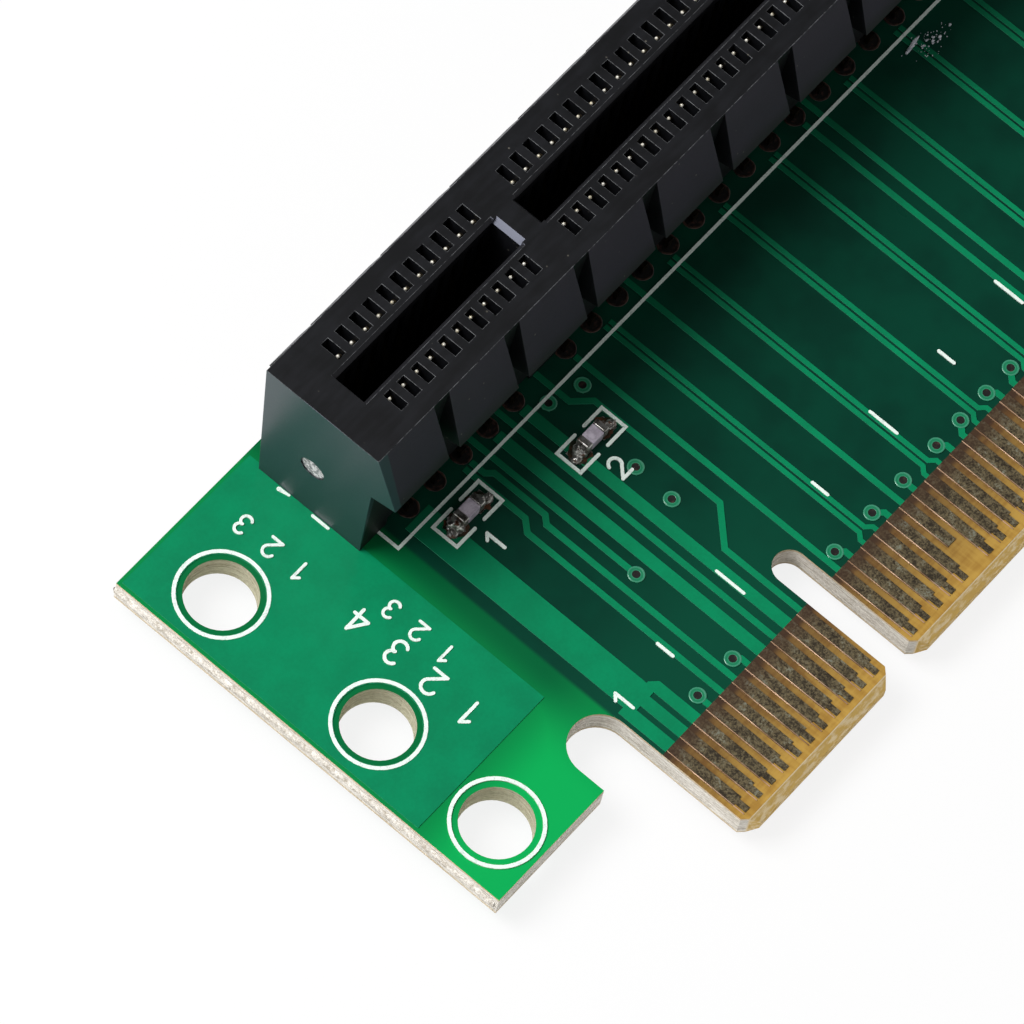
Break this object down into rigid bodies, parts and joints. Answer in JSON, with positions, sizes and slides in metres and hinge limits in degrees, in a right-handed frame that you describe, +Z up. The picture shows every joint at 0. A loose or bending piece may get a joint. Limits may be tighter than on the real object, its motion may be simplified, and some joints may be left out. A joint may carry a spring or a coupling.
{
  "type": "riser card",
  "caption": "Flat printed riser card with a keyed gold-finger edge, a screw tab with round holes and a black card slot along its far edge.",
  "frame": {"origin": "centre line of the key notch, at the finger edge, on the underside of the board", "axes": "+X along the contact rows towards the last contact, +Y from the finger edge to the card slot, +Z up through the component side, the way a card leaves the slot"},
  "size_m": [0.066, 0.0315, 0.014],
  "materials": {
    "board": "satin green lacquer over glass-epoxy laminate",
    "gold": "worn plated finger",
    "lacquered_copper": "copper under satin green lacquer",
    "housing": "black moulded resin",
    "spring_metal": "plated bronze",
    "tin": "tin solder",
    "ceramic": "matt ceramic",
    "white_ink": "matt white print"
  },
  "bodies": {
    "root": {"board_laminate": "board", "front_fingers_short_tongue": "gold", "front_fingers_long_tongue": "gold", "rear_fingers_short_tongue": "gold", "rear_fingers_long_tongue": "gold", "supply_runs": "lacquered_copper", "signal_runs": "lacquered_copper", "pair_runs": "lacquered_copper", "ground_stubs": "lacquered_copper", "lone_vias": "lacquered_copper", "tab_pour": "lacquered_copper", "slot_housing": "housing", "front_springs_inner": "spring_metal", "front_springs_outer": "spring_metal", "rear_springs_inner": "spring_metal", "rear_springs_outer": "spring_metal", "capacitor_1_pads": "tin", "capacitor_1_body": "ceramic", "capacitor_1_terminals": "tin", "capacitor_1_solder": "tin", "capacitor_2_pads": "tin", "capacitor_2_body": "ceramic", "capacitor_2_terminals": "tin", "capacitor_2_solder": "tin", "hole_rings": "white_ink", "slot_outline_print": "white_ink", "capacitor_bracket_print": "white_ink", "contact_tick_print": "white_ink"}
  },
  "joints": []
}
